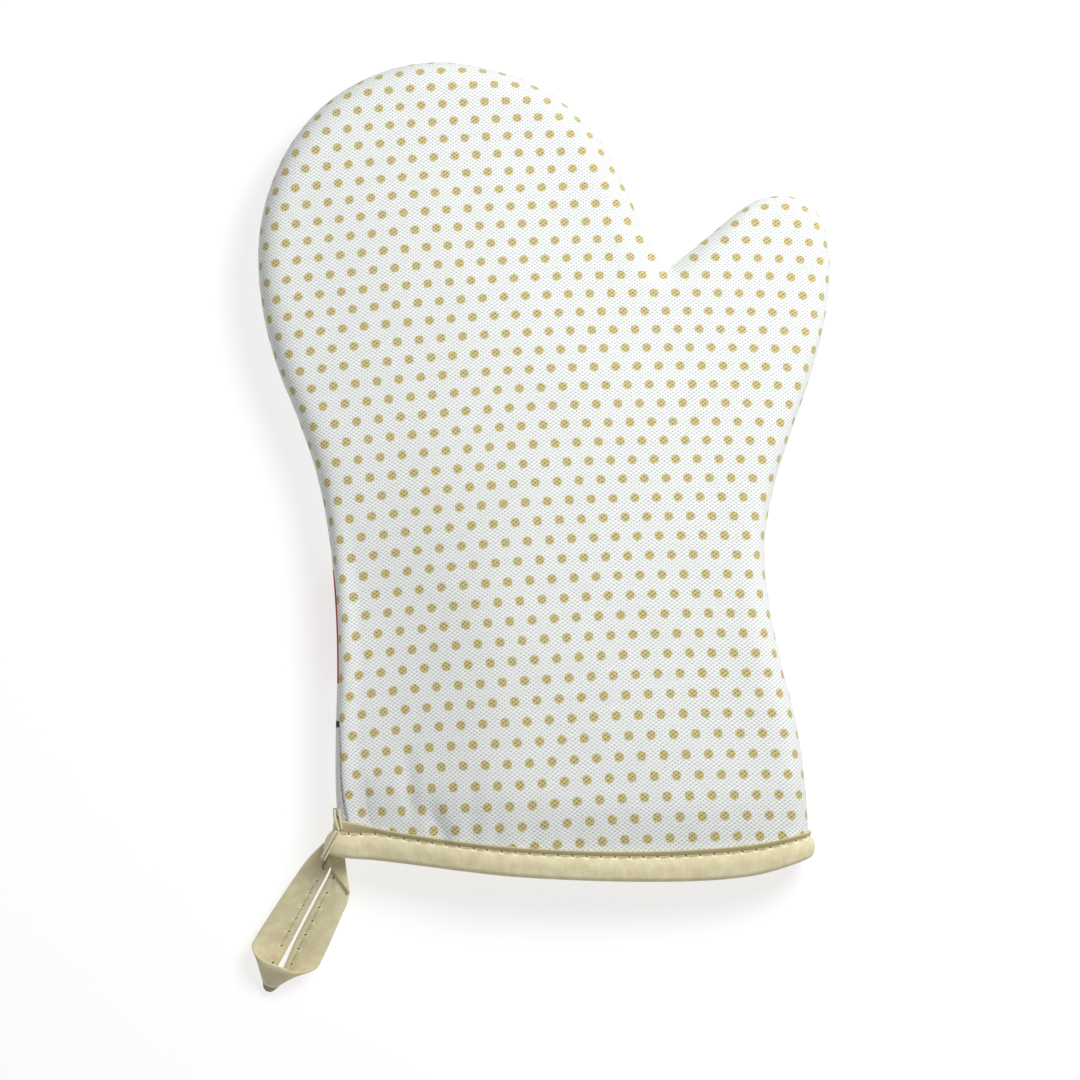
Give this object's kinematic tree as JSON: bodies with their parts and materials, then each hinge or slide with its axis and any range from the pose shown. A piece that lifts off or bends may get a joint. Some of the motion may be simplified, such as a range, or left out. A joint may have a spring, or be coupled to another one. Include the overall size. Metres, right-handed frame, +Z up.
{
  "type": "oven mitt",
  "caption": "Padded cotton oven mitt with dotted palm, bound cuff and a hanging loop of tape; fingers, thumb and loop bend.",
  "frame": {"origin": "on the resting surface, under the middle of the whole mitt with its loop", "axes": "+X towards the thumb side, +Y towards the fingertips, +Z up through the thickness, palm side up"},
  "size_m": [0.1847, 0.2972, 0.0255],
  "materials": {
    "cotton_shell": "coarse plain weave, off-white with a printed pattern",
    "batting": "soft white padding",
    "cotton_lining": "plain natural cotton",
    "binding_tape": "folded beige cotton tape",
    "sewing_thread": "spun beige thread"
  },
  "bodies": {
    "hand": {"palm_shell_hand": "cotton_shell", "palm_batting_hand": "batting", "palm_lining_hand": "cotton_lining", "back_shell_hand": "cotton_shell", "back_batting_hand": "batting", "back_lining_hand": "cotton_lining", "side_seam_hand": "sewing_thread", "cuff_binding": "binding_tape", "cuff_topstitch": "sewing_thread", "loop_root": "binding_tape", "loop_tail_upper": "binding_tape", "loop_tail_lower": "binding_tape", "loop_tack": "sewing_thread"},
    "fingers": {"palm_shell_fingers": "cotton_shell", "palm_batting_fingers": "batting", "palm_lining_fingers": "cotton_lining", "back_shell_fingers": "cotton_shell", "back_batting_fingers": "batting", "back_lining_fingers": "cotton_lining", "side_seam_fingers": "sewing_thread"},
    "thumb": {"palm_shell_thumb": "cotton_shell", "palm_batting_thumb": "batting", "palm_lining_thumb": "cotton_lining", "back_shell_thumb": "cotton_shell", "back_batting_thumb": "batting", "back_lining_thumb": "cotton_lining", "side_seam_thumb": "sewing_thread"},
    "loop": {"hanging_loop": "binding_tape", "loop_stitching": "sewing_thread"}
  },
  "joints": [
    {"name": "finger_bend", "type": "hinge", "parent": "hand", "child": "fingers", "pos_m": [-0.0277, 0.082, 0.026], "axis": [0.9794, 0.2017, 0], "range_deg": [0, 70]},
    {"name": "thumb_bend", "type": "hinge", "parent": "hand", "child": "thumb", "pos_m": [0.0558, 0.03825, 0.026], "axis": [0.3325, -0.9431, 0], "range_deg": [0, 60]},
    {"name": "loop_swing", "type": "hinge", "parent": "hand", "child": "loop", "pos_m": [-0.068, -0.109, 0.0082], "axis": [-0.8838, 0.4679, 0], "range_deg": [0, 100]}
  ]
}
